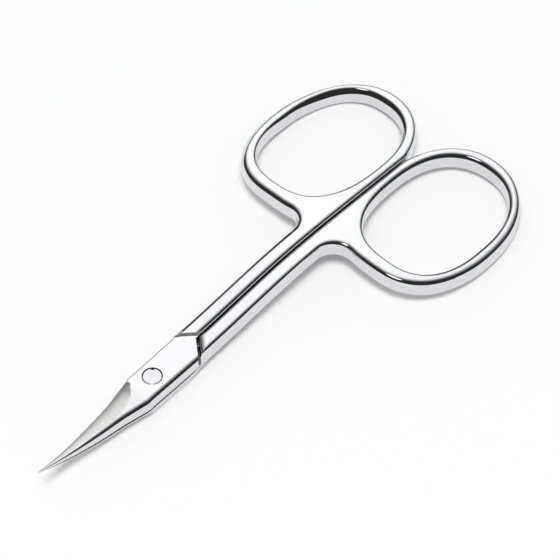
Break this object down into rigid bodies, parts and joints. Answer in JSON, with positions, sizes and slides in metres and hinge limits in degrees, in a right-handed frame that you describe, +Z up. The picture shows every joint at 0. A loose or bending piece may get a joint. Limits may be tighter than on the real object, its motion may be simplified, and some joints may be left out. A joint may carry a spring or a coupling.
{
  "type": "nail scissors",
  "caption": "Curved nail scissors: mirror-polished steel halves with oval finger bows, straight shanks and short upturned blades, turning on a slotted countersunk screw.",
  "frame": {"origin": "on the pivot axis, in the flat underside of the lap joint, on which the closed scissors rest", "axes": "+X towards the blade tips, +Y towards the lower half's bow, +Z up along the pivot axis, out of the screw head"},
  "size_m": [0.0975, 0.0478, 0.0059],
  "materials": {
    "polished_steel": "mirror-polished stainless steel, finely ground in the blade hollows",
    "screw_steel": "turned stainless steel, face ground flush"
  },
  "bodies": {
    "lower": {"lower_half": "polished_steel", "pivot_screw": "screw_steel"},
    "upper": {"upper_half": "polished_steel"}
  },
  "joints": [
    {"name": "pivot", "type": "hinge", "parent": "lower", "child": "upper", "pos_m": [0, 0, 0], "axis": [0, 0, 1], "range_deg": [0, 90]}
  ]
}
